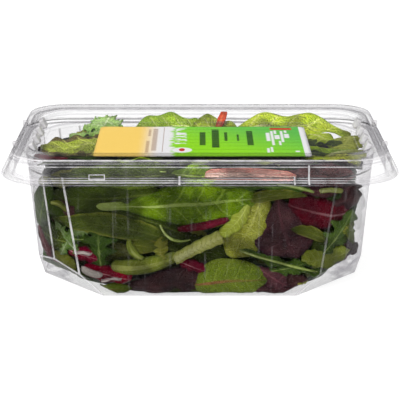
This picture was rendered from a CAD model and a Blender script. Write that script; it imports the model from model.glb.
"""A clear tub of mixed salad leaves: the looks of the pack, built round its fixed CAD frame."""

import itertools
import math
from contextlib import contextmanager
from typing import Callable, NamedTuple

import bmesh
import bpy
import numpy as np
from bpy.props import FloatProperty, FloatVectorProperty, IntProperty, PointerProperty
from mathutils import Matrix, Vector


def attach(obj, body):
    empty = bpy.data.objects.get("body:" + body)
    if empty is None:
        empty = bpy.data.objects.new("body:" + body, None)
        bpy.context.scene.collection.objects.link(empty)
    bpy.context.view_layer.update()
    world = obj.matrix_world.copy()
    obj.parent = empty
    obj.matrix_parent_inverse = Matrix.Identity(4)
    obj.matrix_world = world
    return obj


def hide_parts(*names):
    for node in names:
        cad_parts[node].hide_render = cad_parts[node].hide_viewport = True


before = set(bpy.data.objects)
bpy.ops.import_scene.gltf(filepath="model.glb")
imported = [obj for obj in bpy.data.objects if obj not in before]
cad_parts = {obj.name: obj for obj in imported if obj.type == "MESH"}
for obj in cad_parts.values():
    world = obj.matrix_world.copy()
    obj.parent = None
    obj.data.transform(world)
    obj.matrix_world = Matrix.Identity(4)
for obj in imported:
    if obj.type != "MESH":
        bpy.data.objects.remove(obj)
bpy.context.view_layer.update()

bl_info = {
    "name": "Salad tub",
    "version": (1, 0, 0),
    "blender": (4, 5, 0),
    "location": "View3D > Sidebar > Salad tub",
    "description": "Builds a clear tub of salad leaves with its lid and label",
    "category": "Add Mesh",
}

MM = 0.001
BODY = "root"

# Tub walls in millimetres: half widths, half depths, heights and the sheet's thickness
SHEET = 0.4
TUB_TOP = 77.0
TUB_HALF_WIDTH = 104.4
TUB_HALF_DEPTH = 60.4
BASE_HALF_WIDTH = 99.6
BASE_HALF_DEPTH = 58.1
CORNER_SIDE_END = (104.4, 41.4, TUB_TOP)
CORNER_MIDDLE = (95.0, 52.8, TUB_TOP)
CORNER_FRONT_END = (82.0, 60.4, TUB_TOP)
CORNER_MIDDLE_FOOT = (89.6, 50.0, 22.5)
CUT_REACH = 117.0
CUT_SLOPE = 1.05
HEAP_CUT_REACH = 108.0
HEAP_CUT_SLOPE = 1.8

# Rings of the rim and the lid: half width, half depth, corner radius and height
RIM_RINGS = (
    (104.6, 60.8, 30.0, 76.4),
    (105.3, 61.5, 29.5, 79.0),
    (105.6, 61.8, 28.0, 87.0),
    (106.6, 62.8, 26.0, 88.6),
    (110.0, 65.4, 21.4, 88.6),
    (111.4, 66.8, 21.8, 87.2),
    (112.0, 68.4, 22.6, 77.6),
    (112.9, 69.3, 23.4, 76.6),
    (118.2, 74.2, 28.2, 76.5),
    (118.8, 74.8, 28.8, 75.9),
)
LID_RINGS = (
    (60.0, 14.0, 8.0, 84.0),
    (98.4, 41.9, 17.2, 84.0),
    (99.6, 43.2, 18.0, 84.7),
    (103.6, 50.6, 20.0, 87.4),
    (105.2, 53.6, 21.0, 90.1),
    (106.2, 54.6, 21.5, 90.35),
    (112.2, 67.2, 22.0, 90.35),
    (113.2, 68.4, 22.6, 89.9),
    (114.0, 69.5, 23.4, 87.3),
    (114.7, 70.3, 24.0, 86.4),
    (115.3, 71.0, 24.7, 79.6),
    (116.2, 71.9, 25.6, 78.4),
    (119.2, 75.2, 29.2, 78.1),
    (119.8, 75.8, 29.8, 77.1),
)


# Sizes and colours that a user would change

def colour(name, description, default):
    """A colour property with its default given as an sRGB colour of 0 to 255."""
    return FloatVectorProperty(
        name=name, description=description, subtype="COLOR", size=3, min=0.0, max=1.0,
        default=paint_of(default))


def length(name, description, default_mm):
    """A length property with its default given in millimetres."""
    return FloatProperty(name=name, description=description, unit="LENGTH", default=default_mm * MM,
                         precision=5)


def linear(channel):
    """One sRGB channel of 0 to 255 as linear light."""
    value = channel / 255.0
    return value / 12.92 if value <= 0.04045 else ((value + 0.055) / 1.055) ** 2.4


def paint_of(srgb):
    """An sRGB colour of 0 to 255 as linear light."""
    return tuple(linear(channel) for channel in srgb)


class PackSizes(bpy.types.PropertyGroup):
    """Sizes of the clear tub, its lid and its label."""

    wall: length("Wall", "Thickness of the clear sheet", SHEET)
    crease: length("Crease", "Radius of the tub's creases", 1.1)
    label_left: length("Label left", "Left edge of the label", -65.0)
    label_right: length("Label right", "Right edge of the label", 68.0)
    label_front: length("Label front", "Front edge of the label", -41.0)
    label_back: length("Label back", "Back edge of the label", 29.5)
    rib_count: IntProperty(name="Ribs", description="Stiffening ribs on each short side", default=4)


class PackColours(bpy.types.PropertyGroup):
    """Colours of the plastic and of the label's fields."""

    face: colour("Clear face", "What the sheet lets through when seen square on", (253, 253, 253))
    edge: colour("Clear edge", "What the sheet lets through when seen edge on", (204, 202, 206))
    haze: colour("Bend haze", "Milky look of the sheet's bends", (228, 226, 228))
    orange: colour("Label orange", "Left field of the label", (254, 214, 108))
    white: colour("Label white", "White bands of the label", (238, 237, 239))
    lime: colour("Label lime", "Bright green field of the label", (146, 222, 24))
    green: colour("Label green", "Deeper green field of the label", (92, 190, 78))
    brown: colour("Label brown", "Brown bars of the label", (150, 110, 84))
    red: colour("Label red", "Small red bars of the label", (200, 50, 30))
    ink: colour("Label ink", "Dark green bars of the label", (24, 62, 18))


class LeafColours(bpy.types.PropertyGroup):
    """Colours of the leaves, by kind."""

    spinach: colour("Spinach", "Smooth dark leaves", (46, 60, 15))
    olive: colour("Olive", "Long leaves with a paler edge", (62, 72, 22))
    romaine: colour("Romaine", "Bright green leaves with a pale rib", (80, 102, 18))
    crinkled: colour("Crinkled lettuce", "Yellow-green crinkled leaves", (130, 136, 48))
    butter: colour("Bright lettuce", "Bright tender leaves under the lid", (150, 180, 36))
    red_edged: colour("Red-edged lettuce", "Crumpled leaves with a dark red edge", (138, 150, 48))
    purple: colour("Purple lettuce", "Dark purple leaves with a green heart", (48, 26, 30))
    radicchio: colour("Radicchio", "Crimson leaves with a white rib", (88, 12, 32))
    rocket: colour("Rocket", "Lobed leaves", (44, 66, 20))
    frisee: colour("Feathery leaf", "Fine pale feathery leaves", (112, 146, 64))
    chard: colour("Chard", "Green leaves with a red rib", (80, 96, 26))
    curled: colour("Curled heart", "Thick pale curled leaves", (100, 110, 42))
    pale_rib: colour("Pale rib", "Thick pale stalks", (158, 162, 92))
    white_rib: colour("White rib", "White ribs of red leaves", (196, 184, 178))
    twig: colour("Twig", "Thin pale stems", (112, 130, 60))
    red_stem: colour("Red stem", "Dark red stalks", (84, 12, 28))
    flame_stem: colour("Bright red stem", "The stalk that stands up at the back", (218, 78, 52))
    pink_stem: colour("Pink stem", "Pale pink stalks", (184, 112, 100))


class StageSettings(bpy.types.PropertyGroup):
    """The floor, the light and the camera."""

    floor: colour("Floor", "Pale floor", (150, 150, 150))
    camera_back: length("Camera back", "How far the camera stands from the tub's middle", 813.7)
    camera_height: length("Camera height", "How high the camera stands", 307.0)
    camera_pitch: FloatProperty(name="Camera pitch", description="How far the camera looks down",
                                subtype="ANGLE", default=math.radians(17.95))
    camera_lens: FloatProperty(name="Lens", description="Focal length in millimetres", default=119.5)


# Node trees in few words

class Shade:
    """A material's or a world's node tree, with one short call for each kind of node."""

    def __init__(self, name, world=False):
        self.holder = (bpy.data.worlds if world else bpy.data.materials).new(name)
        self.holder.use_nodes = True
        self.tree = self.holder.node_tree
        self.tree.nodes.clear()
        self.output = self.tree.nodes.new("ShaderNodeOutputWorld" if world else "ShaderNodeOutputMaterial")

    def node(self, kind, **values):
        made = self.tree.nodes.new(kind)
        for key, value in values.items():
            setattr(made, key, value)
        return made

    def feed(self, socket, value):
        if isinstance(value, bpy.types.NodeSocket):
            self.tree.links.new(value, socket)
        elif value is not None:
            if socket.type == "RGBA" and len(value) == 3:
                value = (*value, 1.0)
            socket.default_value = value

    def math(self, operation, first, second=None, third=None, clamp=False):
        made = self.node("ShaderNodeMath", operation=operation, use_clamp=clamp)
        for socket, value in zip(made.inputs, (first, second, third)):
            self.feed(socket, value)
        return made.outputs[0]

    def times(self, first, second):
        """Two numbers multiplied."""
        return self.math("MULTIPLY", first, second)

    def mix(self, share, first, second):
        """Two colours mixed by share."""
        made = self.node("ShaderNodeMix", data_type="RGBA")
        self.feed(made.inputs["Factor"], share)
        self.feed(made.inputs[6], first)
        self.feed(made.inputs[7], second)
        return made.outputs[2]

    def step(self, value, low, high, start=0.0, end=1.0):
        """A smooth step from start to end while value goes from low to high."""
        made = self.node("ShaderNodeMapRange", interpolation_type="SMOOTHSTEP")
        for name, number in (("Value", value), ("From Min", low), ("From Max", high),
                             ("To Min", start), ("To Max", end)):
            self.feed(made.inputs[name], number)
        return made.outputs[0]

    def blend(self, share, first, second):
        """Two shaders mixed by share."""
        made = self.node("ShaderNodeMixShader")
        for socket, value in zip(made.inputs, (share, first, second)):
            self.feed(socket, value)
        return made.outputs[0]

    def place(self, kind="Object"):
        """x, y and z of a point; on the object they are in metres."""
        split = self.node("ShaderNodeSeparateXYZ")
        self.feed(split.inputs[0], self.node("ShaderNodeTexCoord").outputs[kind])
        return tuple(split.outputs)

    def coordinates(self, scale=(1, 1, 1)):
        made = self.node("ShaderNodeMapping")
        self.feed(made.inputs["Vector"], self.node("ShaderNodeTexCoord").outputs["Object"])
        made.inputs["Scale"].default_value = scale
        return made.outputs[0]

    def noise(self, vector, scale, detail=3.0, rough=0.5):
        made = self.node("ShaderNodeTexNoise")
        self.feed(made.inputs["Vector"], vector)
        made.inputs["Scale"].default_value = scale
        made.inputs["Detail"].default_value = detail
        made.inputs["Roughness"].default_value = rough
        return made.outputs["Fac"]

    def bump(self, height, strength, distance):
        made = self.node("ShaderNodeBump")
        made.inputs["Strength"].default_value = strength
        made.inputs["Distance"].default_value = distance
        self.feed(made.inputs["Height"], height)
        return made.outputs[0]

    def surface(self, colour_in, roughness, normal=None, specular=0.5):
        made = self.node("ShaderNodeBsdfPrincipled")
        self.feed(made.inputs["Base Color"], colour_in)
        self.feed(made.inputs["Roughness"], roughness)
        made.inputs["Specular IOR Level"].default_value = specular
        self.feed(made.inputs["Normal"], normal)
        return made.outputs[0]

    def finish(self, shader):
        self.tree.links.new(shader, self.output.inputs["Surface"])
        return self.holder


# Meshes in few words

def raise_piece(name, mesh, material, replaced):
    """Links a finished mesh as a piece that rides on the one body and stands for a CAD node."""
    piece = bpy.data.objects.new(name, mesh)
    bpy.context.scene.collection.objects.link(piece)
    mesh.materials.clear()
    mesh.materials.append(material)
    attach(piece, BODY)
    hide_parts(replaced)


def mesh_from(name, points, faces, smooth=True):
    """A mesh of points and faces, smooth unless told not to be."""
    mesh = bpy.data.meshes.new(name)
    mesh.from_pydata([tuple(p) for p in points], [], [tuple(f) for f in faces])
    mesh.polygons.foreach_set("use_smooth", [smooth] * len(mesh.polygons))
    mesh.update()
    return mesh


@contextmanager
def edited(mesh):
    """Opens a mesh for editing and writes it back."""
    work = bmesh.new()
    work.from_mesh(mesh)
    yield work
    work.to_mesh(mesh)
    work.free()


def outward(mesh, merge=True):
    """Turns a closed mesh's faces outwards, after its doubles are merged where merge is set."""
    with edited(mesh) as work:
        if merge:
            bmesh.ops.remove_doubles(work, verts=work.verts, dist=1e-7)
        bmesh.ops.recalc_face_normals(work, faces=work.faces)
    return mesh


def with_modifiers(mesh, *modifiers):
    """The mesh after the modifiers, each given as its type and its settings."""
    carrier = bpy.data.objects.new("carrier", mesh)
    bpy.context.scene.collection.objects.link(carrier)
    for kind, settings in modifiers:
        modifier = carrier.modifiers.new(kind.lower(), kind)
        for key, value in settings.items():
            setattr(modifier, key, value)
    evaluated = carrier.evaluated_get(bpy.context.evaluated_depsgraph_get())
    result = bpy.data.meshes.new_from_object(evaluated)
    bpy.data.objects.remove(carrier)
    result.polygons.foreach_set("use_smooth", [True] * len(result.polygons))
    return result


BEND_STEPS = (0.0, 0.25, 0.5, 0.75, 1.0)


def rounded_profile(rings, reach=0.9):
    """Rounds each corner of a profile; the last value of each ring tells how much it bends there."""
    profile = [np.array(ring, float) for ring in rings]
    rounded = [np.append(profile[0], 0.0)]
    for before, here, after in zip(profile, profile[1:], profile[2:]):
        arm_in, arm_out = before - here, after - here
        long_in, long_out = np.hypot(arm_in[1], arm_in[3]), np.hypot(arm_out[1], arm_out[3])
        start = here + arm_in * min(0.45, reach / long_in)
        end = here + arm_out * min(0.45, reach / long_out)
        cosine = -(arm_in[1] * arm_out[1] + arm_in[3] * arm_out[3]) / (long_in * long_out)
        turn = min(1.0, math.acos(max(-1.0, min(1.0, cosine))) / math.radians(50.0))
        for t in BEND_STEPS:
            point = start * (1 - t) ** 2 + here * 2 * t * (1 - t) + end * t ** 2
            rounded.append(np.append(point, turn * 4 * t * (1 - t)))
    rounded.append(np.append(profile[-1], 0.5))
    return rounded


def mark_bends(mesh, bends):
    """Stores how much the sheet bends at each point, for its material."""
    attribute = mesh.attributes.new("bend", "FLOAT", "POINT")
    attribute.data.foreach_set("value", np.asarray(bends, dtype=np.float32))
    return mesh


def ring_outline(half_width, half_depth, radius, corner_steps=12, side_steps=20, front_steps=32):
    """A rounded rectangle as points, anticlockwise from the right side's front end."""
    points = []
    inner_x, inner_y = half_width - radius, half_depth - radius
    straight = [((half_width, -inner_y), (half_width, inner_y), side_steps),
                ((inner_x, half_depth), (-inner_x, half_depth), front_steps),
                ((-half_width, inner_y), (-half_width, -inner_y), side_steps),
                ((-inner_x, -half_depth), (inner_x, -half_depth), front_steps)]
    centres = [(inner_x, inner_y), (-inner_x, inner_y), (-inner_x, -inner_y), (inner_x, -inner_y)]
    for quarter, ((start, end, steps), centre) in enumerate(zip(straight, centres)):
        for i in range(steps):
            share = i / steps
            points.append((start[0] + (end[0] - start[0]) * share, start[1] + (end[1] - start[1]) * share))
        for i in range(corner_steps):
            angle = (quarter + i / corner_steps) * math.pi / 2
            points.append((centre[0] + radius * math.cos(angle), centre[1] + radius * math.sin(angle)))
    return np.array(points)


def lofted(name, profile, shaped=None, capped=False):
    """Joins a profile's rings into a sheet; shaped may move each ring's points."""
    rings, bends = [], []
    for half_width, half_depth, radius, height, bend in profile:
        flat = ring_outline(half_width, half_depth, radius)
        ring = np.column_stack([flat, np.full(len(flat), height)])
        rings.append(shaped(ring) if shaped else ring)
        bends += [bend] * len(ring)
    count = len(rings[0])
    faces = []
    for i in range(len(rings) - 1):
        for j in range(count):
            after = (j + 1) % count
            faces.append((i * count + j, (i + 1) * count + j, (i + 1) * count + after, i * count + after))
    if capped:
        faces.append(tuple(range(count)))
    return mark_bends(mesh_from(name, np.vstack(rings) * MM, faces), bends)


# The clear sheet; places on it are in metres, and pairs are where a change starts and ends

FACE_ON_SHINE = 0.002
GRAZING_SHINE = 0.4
SHEET_ROUGHNESS = 0.05
MILK_ROUGHNESS = 0.25
BEND_HAZE = 0.5
FLANK_SHADE = 0.3
BLOTCHES_PER_METRE = 130.0

# Dark blotches at the tub's four lower corners
FOOT_TOP = (0.016, 0.024)
FOOT_REACH = (0.074, 0.09)
FOOT_SHADE = (0.08, 0.5)

# Upright streaks on the tub's front, and how much of its bends' haze is left on the left and on the right
STREAKS_PER_METRE = 520.0
STREAK_HAZE = 0.028
STREAK_FRONT = (-0.05, -0.04)
FADE_PLACE = (0.055, 0.08)
FADE = (0.85, 0.08)

# Milky places of the lid
LID_FRONT = (-0.055, -0.045)
RING_BAND = (0.0800, 0.0888)
RING_MIST = 0.02
CORNER_PLACE = (0.084, 0.096)
CORNER_MIST = 0.12
LIP_TOP = (0.0785, 0.0795)
LIP_SHARE = 0.7
MARK_MIST = 0.45
# Faint lines moulded in the lid's front, upright and round a small frame: left, right, low and high
MOULD_MARKS = (
    (0.0632, 0.0642, 0.0768, 0.0872), (0.0548, 0.0558, 0.0768, 0.0808), (-0.0126, -0.0114, 0.0764, 0.0812),
    (-0.0650, -0.0556, 0.0815, 0.0820), (-0.0650, -0.0556, 0.0788, 0.0792),
    (-0.0652, -0.0646, 0.0788, 0.0820), (-0.0562, -0.0556, 0.0788, 0.0820),
)
RIB_MILK = (0.64, 0.8)


def within(shade, value, low, high, soft):
    """1 between low and high, 0 outside them."""
    return shade.times(shade.step(value, low - soft, low + soft),
                       shade.step(value, high - soft, high + soft, 1.0, 0.0))


def foot_shade(shade, place, uneven, dark):
    """Darkens the tub in blotches at its lower corners."""
    foot = shade.times(shade.step(place[2], *FOOT_TOP, 1.0, 0.0),
                       shade.step(shade.math("ABSOLUTE", place[0]), *FOOT_REACH))
    blotch = shade.step(uneven, 0.38, 0.58, *FOOT_SHADE)
    return shade.math("MAXIMUM", dark, shade.times(foot, blotch))


def tub_haze(shade, place, uneven, haze):
    """The bends' haze, less of it on the right, and faint streaks on the front wall."""
    lines = shade.noise(shade.coordinates((1.0, 0.0, 0.02)), STREAKS_PER_METRE, 1.0)
    streak = shade.times(shade.step(lines, 0.64, 0.7, 0.0, STREAK_HAZE), shade.step(uneven, 0.4, 0.6))
    streak = shade.times(streak, shade.step(place[1], *STREAK_FRONT, 1.0, 0.0))
    faded = shade.times(haze, shade.step(place[0], *FADE_PLACE, *FADE))
    return shade.math("MAXIMUM", faded, streak)


def lid_haze(shade, place, uneven, haze):
    """The bends' haze, less of it on the lip, with mist on the ring's side and corners and moulded lines."""
    x, y, z = place
    front = shade.step(y, *LID_FRONT, 1.0, 0.0)
    mist = shade.times(within(shade, z, *RING_BAND, 0.0003), RING_MIST)
    corner = shade.step(shade.math("ABSOLUTE", x), *CORNER_PLACE, 0.0, CORNER_MIST)
    mist = shade.math("MAXIMUM", mist, shade.times(corner, front))
    for left, right, low, high in MOULD_MARKS:
        mark = shade.times(within(shade, x, left, right, 0.0002), within(shade, z, low, high, 0.0002))
        mist = shade.math("MAXIMUM", mist, shade.times(shade.times(mark, front), MARK_MIST))
    mist = shade.times(mist, shade.step(uneven, 0.3, 0.65, 0.7, 1.2))
    return shade.math("MAXIMUM", shade.times(haze, shade.step(z, *LIP_TOP, LIP_SHARE, 1.0)), mist)


def rib_haze(shade, _place, uneven, _haze):
    """Milky all over, whatever the place and the bend."""
    return shade.step(uneven, 0.3, 0.65, *RIB_MILK)


def clear_material(name, colours, haze_of, shade_of=None):
    """Clear glossy sheet: see-through when seen square on, hazy in its bends, shiny edge on."""
    shade = Shade(name)
    waves = shade.noise(shade.coordinates((1.0, 1.0, 1.6)), 60.0, 2.0)
    normal = shade.bump(waves, 0.12, 0.0005)
    weight = shade.node("ShaderNodeLayerWeight")
    weight.inputs["Blend"].default_value = 0.5
    shade.feed(weight.inputs["Normal"], normal)
    facing = weight.outputs["Facing"]
    bend = shade.node("ShaderNodeAttribute", attribute_name="bend").outputs["Fac"]
    uneven = shade.noise(shade.coordinates(), BLOTCHES_PER_METRE, 2.0)
    place = shade.place()
    flank = shade.times(shade.step(bend, 0.03, 0.2), shade.step(bend, 0.3, 0.6, 1.0, 0.0))
    dark = shade.math("MAXIMUM", shade.math("POWER", facing, 7.0), shade.times(flank, FLANK_SHADE))
    if shade_of:
        dark = shade_of(shade, place, uneven, dark)
    see_through = shade.node("ShaderNodeBsdfTransparent")
    shade.feed(see_through.inputs["Color"], shade.mix(dark, tuple(colours.face), tuple(colours.edge)))
    gloss = shade.node("ShaderNodeBsdfGlossy")
    gloss.inputs["Roughness"].default_value = SHEET_ROUGHNESS
    shade.feed(gloss.inputs["Normal"], normal)
    mirror = shade.math("MULTIPLY_ADD", shade.math("POWER", facing, 5.0), GRAZING_SHINE, FACE_ON_SHINE,
                        clamp=True)
    clear = shade.blend(mirror, see_through.outputs[0], gloss.outputs[0])
    crest = shade.times(shade.step(bend, 0.35, 0.85, 0.0, BEND_HAZE), shade.step(uneven, 0.3, 0.65, 0.4, 1.0))
    milky = shade.surface(tuple(colours.haze), MILK_ROUGHNESS, normal, specular=0.6)
    return shade.finish(shade.blend(haze_of(shade, place, uneven, crest), clear, milky))


def plane_through(a, b, c):
    """Outward unit normal and reach of a plane through three points."""
    a, b, c = (np.array(p, float) for p in (a, b, c))
    normal = np.cross(b - a, c - a)
    normal /= np.linalg.norm(normal)
    if normal[0] + normal[1] < 0:
        normal = -normal
    return normal, float(normal @ a)


def plane_at(normal, point):
    """Unit normal and reach of a plane through one point."""
    unit = np.array(normal, float) / np.linalg.norm(normal)
    return unit, float(unit @ np.array(point, float))


SIDE_LEAN = (TUB_HALF_WIDTH - BASE_HALF_WIDTH) / TUB_TOP
FRONT_LEAN = (TUB_HALF_DEPTH - BASE_HALF_DEPTH) / TUB_TOP
SIDE_WALL = plane_at((1, 0, -SIDE_LEAN), (TUB_HALF_WIDTH, 0, TUB_TOP))
FRONT_WALL = plane_at((0, 1, -FRONT_LEAN), (0, TUB_HALF_DEPTH, TUB_TOP))
SIDE_FACET = plane_through(CORNER_SIDE_END, CORNER_MIDDLE, CORNER_MIDDLE_FOOT)
FRONT_FACET = plane_through(CORNER_MIDDLE, CORNER_FRONT_END, CORNER_MIDDLE_FOOT)
TUB_CUT = plane_at((1, 1, -CUT_SLOPE), (CUT_REACH, 0, 0))
HEAP_CUT = plane_at((1, 1, -HEAP_CUT_SLOPE), (HEAP_CUT_REACH, 0, 0))
QUARTERS = ((1, 1), (-1, 1), (1, -1), (-1, -1))


def meet(*planes):
    """The point where three planes meet."""
    return np.linalg.solve(np.array([n for n, _ in planes]), np.array([r for _, r in planes]))


def tub_corners():
    """Corner points of the tub's body: the flat-walled block under the rim."""
    top, base = plane_at((0, 0, 1), (0, 0, TUB_TOP)), plane_at((0, 0, -1), (0, 0, 0))
    corner = [meet(SIDE_WALL, SIDE_FACET, top), meet(SIDE_FACET, FRONT_FACET, top),
              meet(FRONT_FACET, FRONT_WALL, top), meet(SIDE_WALL, SIDE_FACET, TUB_CUT),
              meet(SIDE_FACET, FRONT_FACET, TUB_CUT), meet(FRONT_FACET, FRONT_WALL, TUB_CUT),
              meet(SIDE_WALL, TUB_CUT, base), meet(FRONT_WALL, TUB_CUT, base)]
    return [Vector((p[0] * sx, p[1] * sy, p[2])) * MM for sx, sy in QUARTERS for p in corner]


def tub_body_mesh(sizes):
    """The open-topped body with rounded creases and a thin wall."""
    work = bmesh.new()
    for point in tub_corners():
        work.verts.new(point)
    hull = bmesh.ops.convex_hull(work, input=work.verts)
    bmesh.ops.delete(work, geom=[v for v in hull["geom_interior"] if isinstance(v, bmesh.types.BMVert)],
                     context="VERTS")
    bmesh.ops.dissolve_limit(work, angle_limit=math.radians(1.0), verts=work.verts, edges=work.edges)
    roof = [f for f in work.faces if f.normal.z > 0.9]
    bmesh.ops.delete(work, geom=roof, context="FACES_ONLY")
    creases = [e for e in work.edges if len(e.link_faces) == 2]
    made = bmesh.ops.bevel(work, geom=creases, offset=sizes.crease, offset_type="OFFSET", segments=3,
                           profile=0.5, affect="EDGES", clamp_overlap=True)
    rounded = set(made["faces"])
    bends = [1.0 if all(f in rounded for f in v.link_faces) else 0.0 for v in work.verts]
    mesh = bpy.data.meshes.new("tub_body")
    work.to_mesh(mesh)
    work.free()
    mark_bends(mesh, bends)
    return with_modifiers(mesh, ("SOLIDIFY", {"thickness": sizes.wall, "offset": -1.0,
                                              "use_even_offset": True}))


SMOOTH_DEGREES = 25.0


def smooth_by_angle(mesh, degrees):
    """Keeps flat faces flat and bends smooth."""
    with edited(mesh) as work:
        for edge in work.edges:
            edge.smooth = len(edge.link_faces) == 2 and edge.calc_face_angle(0.0) < math.radians(degrees)
    return mesh


# Small forms of the lid's front: a thumb place, and upright flutes by their place and how far they stand out
THUMB_X = -1.5
THUMB_HALF = 12.0
THUMB_LOW = 78.8
THUMB_HIGH = 87.0
THUMB_OUT = 1.3
SKIRT_FRONT = -60.0
FLUTE_SPREAD = 1.6
FLUTES = ((43.0, 0.5), (53.0, 0.4), (63.5, 0.9), (-61.0, 0.5), (-84.0, 0.5))


def shaped_skirt(ring):
    """Moves the skirt's front points out at the thumb place and at each flute."""
    height = ring[0, 2]
    if not THUMB_LOW < height < THUMB_HIGH:
        return ring
    moved = ring.copy()
    front = ring[:, 1] < SKIRT_FRONT
    rise = math.sin(math.pi * (height - THUMB_LOW) / (THUMB_HIGH - THUMB_LOW))
    reach = THUMB_HALF - 0.35 * (height - THUMB_LOW)
    thumb = np.clip((reach - np.abs(ring[:, 0] - THUMB_X)) / 2.0, 0.0, 1.0)
    moved[front, 1] -= (THUMB_OUT * thumb * min(1.0, 2.0 * rise))[front]
    for place, out in FLUTES:
        bulge = np.exp(-((ring[:, 0] - place) / FLUTE_SPREAD) ** 2)
        moved[front, 1] -= (out * bulge * rise)[front]
    return moved


class SALAD_OT_tub(bpy.types.Operator):
    """Builds the clear tub: its flat-walled body and its hollow rim"""

    bl_idname = "salad.tub"
    bl_label = "Tub"

    def execute(self, context):
        sizes, colours = context.scene.salad_pack, context.scene.salad_pack_colours
        plastic = clear_material("tub_clear", colours, tub_haze, foot_shade)
        body = smooth_by_angle(tub_body_mesh(sizes), SMOOTH_DEGREES)
        raise_piece("tub_body", body, plastic, "tub")
        rim = lofted("tub_rim", rounded_profile(RIM_RINGS))
        rim = with_modifiers(rim, ("SOLIDIFY", {"thickness": sizes.wall, "offset": -1.0}))
        raise_piece("tub_rim", outward(rim), plastic, "tub")
        return {"FINISHED"}


class SALAD_OT_lid(bpy.types.Operator):
    """Builds the clear lid with its ring, sunk panel, skirt and lip"""

    bl_idname = "salad.lid"
    bl_label = "Lid"

    def execute(self, context):
        sizes, colours = context.scene.salad_pack, context.scene.salad_pack_colours
        plastic = clear_material("lid_clear", colours, lid_haze)
        sheet = lofted("lid_sheet", rounded_profile(LID_RINGS), shaped_skirt, capped=True)
        lid = with_modifiers(sheet, ("SOLIDIFY", {"thickness": sizes.wall, "offset": 0.0}))
        raise_piece("lid_sheet", outward(lid), plastic, "lid")
        return {"FINISHED"}


# Ribs and nubs, which repeat, come from a Geometry Nodes tree

def row_tree():
    """A row of rounded blocks along a line, with named inputs."""
    tree = bpy.data.node_groups.new("row_of_blocks", "GeometryNodeTree")
    face = tree.interface
    for name, kind in (("Count", "Int"), ("Start", "Vector"), ("Step", "Vector"), ("Size", "Vector"),
                       ("Turn", "Vector"), ("Material", "Material")):
        face.new_socket(name, in_out="INPUT", socket_type=f"NodeSocket{kind}")
    face.new_socket("Geometry", in_out="OUTPUT", socket_type="NodeSocketGeometry")
    nodes, link = tree.nodes, tree.links.new
    given, result = nodes.new("NodeGroupInput"), nodes.new("NodeGroupOutput")
    line = nodes.new("GeometryNodeMeshLine")
    line.mode = "OFFSET"
    link(given.outputs["Count"], line.inputs["Count"])
    link(given.outputs["Start"], line.inputs["Start Location"])
    link(given.outputs["Step"], line.inputs["Offset"])
    block = nodes.new("GeometryNodeMeshCube")
    link(given.outputs["Size"], block.inputs["Size"])
    rounded = nodes.new("GeometryNodeSubdivisionSurface")
    rounded.inputs["Level"].default_value = 3
    rounded.inputs["Edge Crease"].default_value = 0.75
    link(block.outputs["Mesh"], rounded.inputs["Mesh"])
    copies = nodes.new("GeometryNodeInstanceOnPoints")
    link(line.outputs["Mesh"], copies.inputs["Points"])
    link(rounded.outputs["Mesh"], copies.inputs["Instance"])
    link(given.outputs["Turn"], copies.inputs["Rotation"])
    real = nodes.new("GeometryNodeRealizeInstances")
    link(copies.outputs["Instances"], real.inputs["Geometry"])
    painted = nodes.new("GeometryNodeSetMaterial")
    link(real.outputs["Geometry"], painted.inputs["Geometry"])
    link(given.outputs["Material"], painted.inputs["Material"])
    link(painted.outputs["Geometry"], result.inputs["Geometry"])
    return tree


def row_mesh(tree, **values):
    """The plain mesh of one row; each input is set by its identifier."""
    carrier = bpy.data.objects.new("row_carrier", bpy.data.meshes.new("row_carrier"))
    bpy.context.scene.collection.objects.link(carrier)
    modifier = carrier.modifiers.new("row", "NODES")
    modifier.node_group = tree
    identifiers = {item.name: item.identifier for item in tree.interface.items_tree if item.in_out == "INPUT"}
    for name, value in values.items():
        modifier[identifiers[name]] = value
    evaluated = carrier.evaluated_get(bpy.context.evaluated_depsgraph_get())
    mesh = bpy.data.meshes.new_from_object(evaluated)
    bpy.data.objects.remove(carrier)
    mesh.polygons.foreach_set("use_smooth", [True] * len(mesh.polygons))
    return mesh


RIB_SIZE = (3.0, 7.5, 6.2)
RIB_X = 102.4
RIB_Z = 87.2
RIB_FRONT = -30.0
RIB_BACK = 28.0
RIB_TILT = math.radians(26.0)
NUB_SIZE = (3.4, 3.0, 3.0)
NUB_X = 113.4
NUB_Z = 88.9
NUB_FRONT = -28.0
NUB_BACK = 22.0


class SALAD_OT_ribs(bpy.types.Operator):
    """Sets a row of ribs on each short side of the lid and two nubs on each side of its ring"""

    bl_idname = "salad.ribs"
    bl_label = "Ribs and nubs"

    def execute(self, context):
        sizes, colours = context.scene.salad_pack, context.scene.salad_pack_colours
        plastic = clear_material("rib_clear", colours, rib_haze)
        tree = row_tree()
        count = sizes.rib_count
        step = (RIB_BACK - RIB_FRONT) / (count - 1)
        for side, word in ((-1, "left"), (1, "right")):
            ribs = row_mesh(tree, Count=count, Start=Vector((side * RIB_X, RIB_FRONT, RIB_Z)) * MM,
                            Step=Vector((0, step, 0)) * MM, Size=Vector(RIB_SIZE) * MM,
                            Turn=(0.0, side * RIB_TILT, 0.0), Material=plastic)
            raise_piece(f"lid_ribs_{word}", ribs, plastic, "lid")
            nubs = row_mesh(tree, Count=2, Start=Vector((side * NUB_X, NUB_FRONT, NUB_Z)) * MM,
                            Step=Vector((0, NUB_BACK - NUB_FRONT, 0)) * MM, Size=Vector(NUB_SIZE) * MM,
                            Turn=(0.0, 0.0, 0.0), Material=plastic)
            raise_piece(f"lid_nubs_{word}", nubs, plastic, "lid")
        return {"FINISHED"}


# The label; its fields, bars and ovals are shares of it, across from the left and up from the front

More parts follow.
